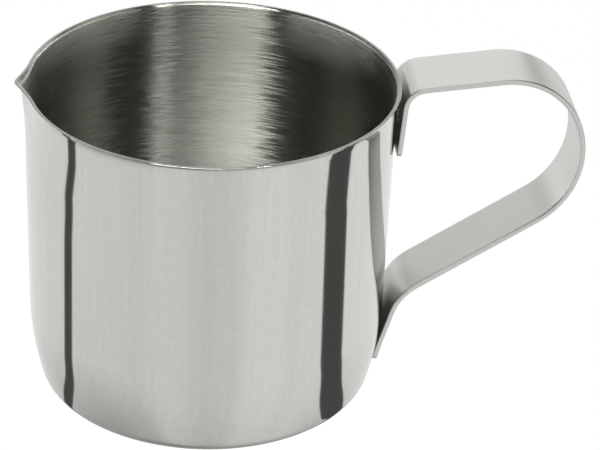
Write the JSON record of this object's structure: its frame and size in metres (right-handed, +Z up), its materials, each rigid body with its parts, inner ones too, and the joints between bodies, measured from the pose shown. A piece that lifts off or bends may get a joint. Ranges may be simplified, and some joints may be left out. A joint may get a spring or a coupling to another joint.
{
  "type": "candle melting pot",
  "caption": "Small round steel melting and pouring pot with a pressed V lip on the rim and a bent strap handle spot-welded to the wall opposite.",
  "frame": {"origin": "centre of the pot's underside, on the surface it stands on", "axes": "+Z up, +X towards the handle, -X towards the pouring lip"},
  "size_m": [0.1357, 0.09, 0.0823],
  "materials": {
    "polished_steel": "polished outside, brushed round inside",
    "satin_strap": "satin",
    "weld_steel": "matt"
  },
  "bodies": {
    "root": {"pot_body": "polished_steel", "strap_handle": "satin_strap", "upper_spot_welds": "weld_steel", "lower_spot_welds": "weld_steel"}
  },
  "joints": []
}
